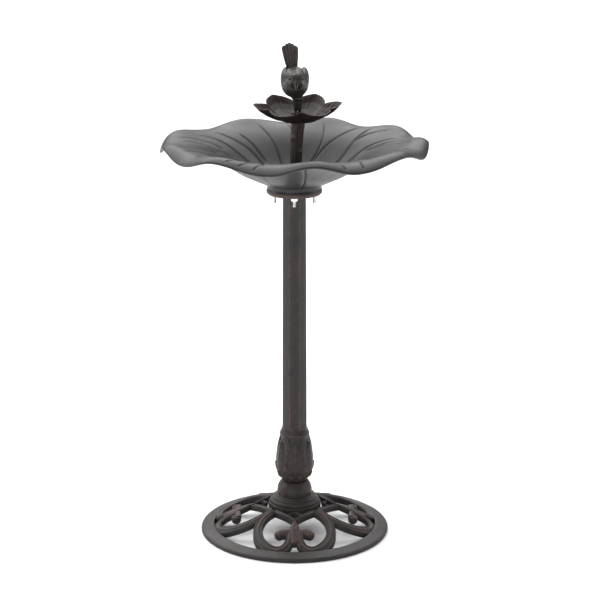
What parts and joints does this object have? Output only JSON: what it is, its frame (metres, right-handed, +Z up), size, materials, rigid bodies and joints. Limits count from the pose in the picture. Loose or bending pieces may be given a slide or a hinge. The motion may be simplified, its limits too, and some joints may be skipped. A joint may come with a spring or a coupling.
{
  "type": "bird bath",
  "caption": "Cast pedestal bird bath: open scroll base, slim column on a leaf bulb, wavy lily-leaf bowl, and a stem with a lotus dish and a small bird.",
  "frame": {"origin": "on the ground at the centre of the base ring, under the column's axis", "axes": "+Z up along the column, -Y to the front, where the bird looks, +X to the viewer's right"},
  "size_m": [0.478, 0.478, 0.898],
  "materials": {
    "iron_bronze": "satin",
    "column_bronze": "satin",
    "leaf_grey": "satin",
    "ornament_bronze": "satin",
    "zinc": "bright",
    "black_rubber": "matte"
  },
  "bodies": {
    "root": {"base_casting": "iron_bronze", "base_collar": "iron_bronze", "leaf_bulb": "iron_bronze", "column_tube": "column_bronze", "column_cap": "iron_bronze", "tie_rod": "zinc", "tie_rod_foot_washer": "zinc", "tie_rod_foot_nut": "zinc", "tie_rod_cap_washer": "zinc", "tie_rod_cap_nut": "zinc", "bowl": "leaf_grey", "bowl_bolts": "zinc", "bowl_bolt_seals": "black_rubber", "bowl_bolt_washers": "zinc", "bowl_nuts": "zinc", "stem": "ornament_bronze", "stem_screw": "zinc", "stem_washer": "zinc", "stem_seal": "black_rubber", "lotus_dish": "ornament_bronze", "bird": "ornament_bronze", "bird_stud": "zinc"}
  },
  "joints": []
}
